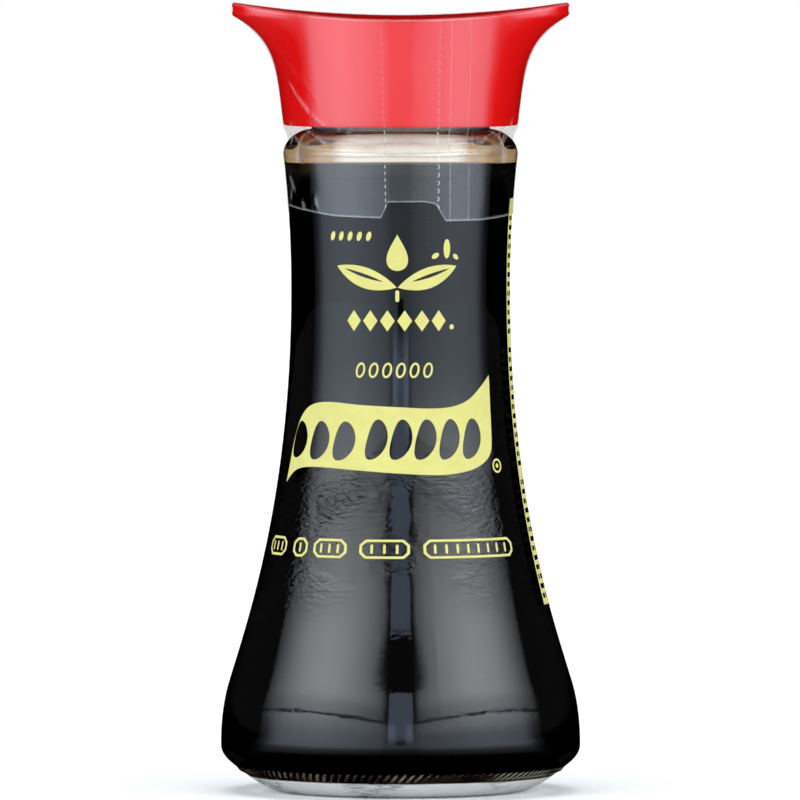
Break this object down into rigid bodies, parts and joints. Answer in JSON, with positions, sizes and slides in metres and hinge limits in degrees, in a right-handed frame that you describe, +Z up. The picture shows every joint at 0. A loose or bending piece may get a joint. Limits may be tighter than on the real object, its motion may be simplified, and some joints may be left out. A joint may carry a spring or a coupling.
{
  "type": "soy sauce bottle",
  "caption": "Waisted clear glass table bottle filled with dark soy sauce, with a red two-spout pouring cap under a clear seal band.",
  "frame": {"origin": "centre of the foot, on the surface that the bottle stands on", "axes": "+Z up along the bottle's axis, X through the two spouts, -Y the front"},
  "size_m": [0.063, 0.063, 0.1383],
  "materials": {
    "glass": "clear flint glass, smooth and slightly rippled, with a knurled foot",
    "sauce": "dark brown clear liquid",
    "cap_plastic": "red moulded plastic, glossy",
    "print": "fired pale yellow ink on the glass",
    "film": "clear shrink film with tear lines"
  },
  "bodies": {
    "root": {"bottle": "glass", "soy_sauce": "sauce", "cap": "cap_plastic", "seal_band": "film"}
  },
  "joints": []
}
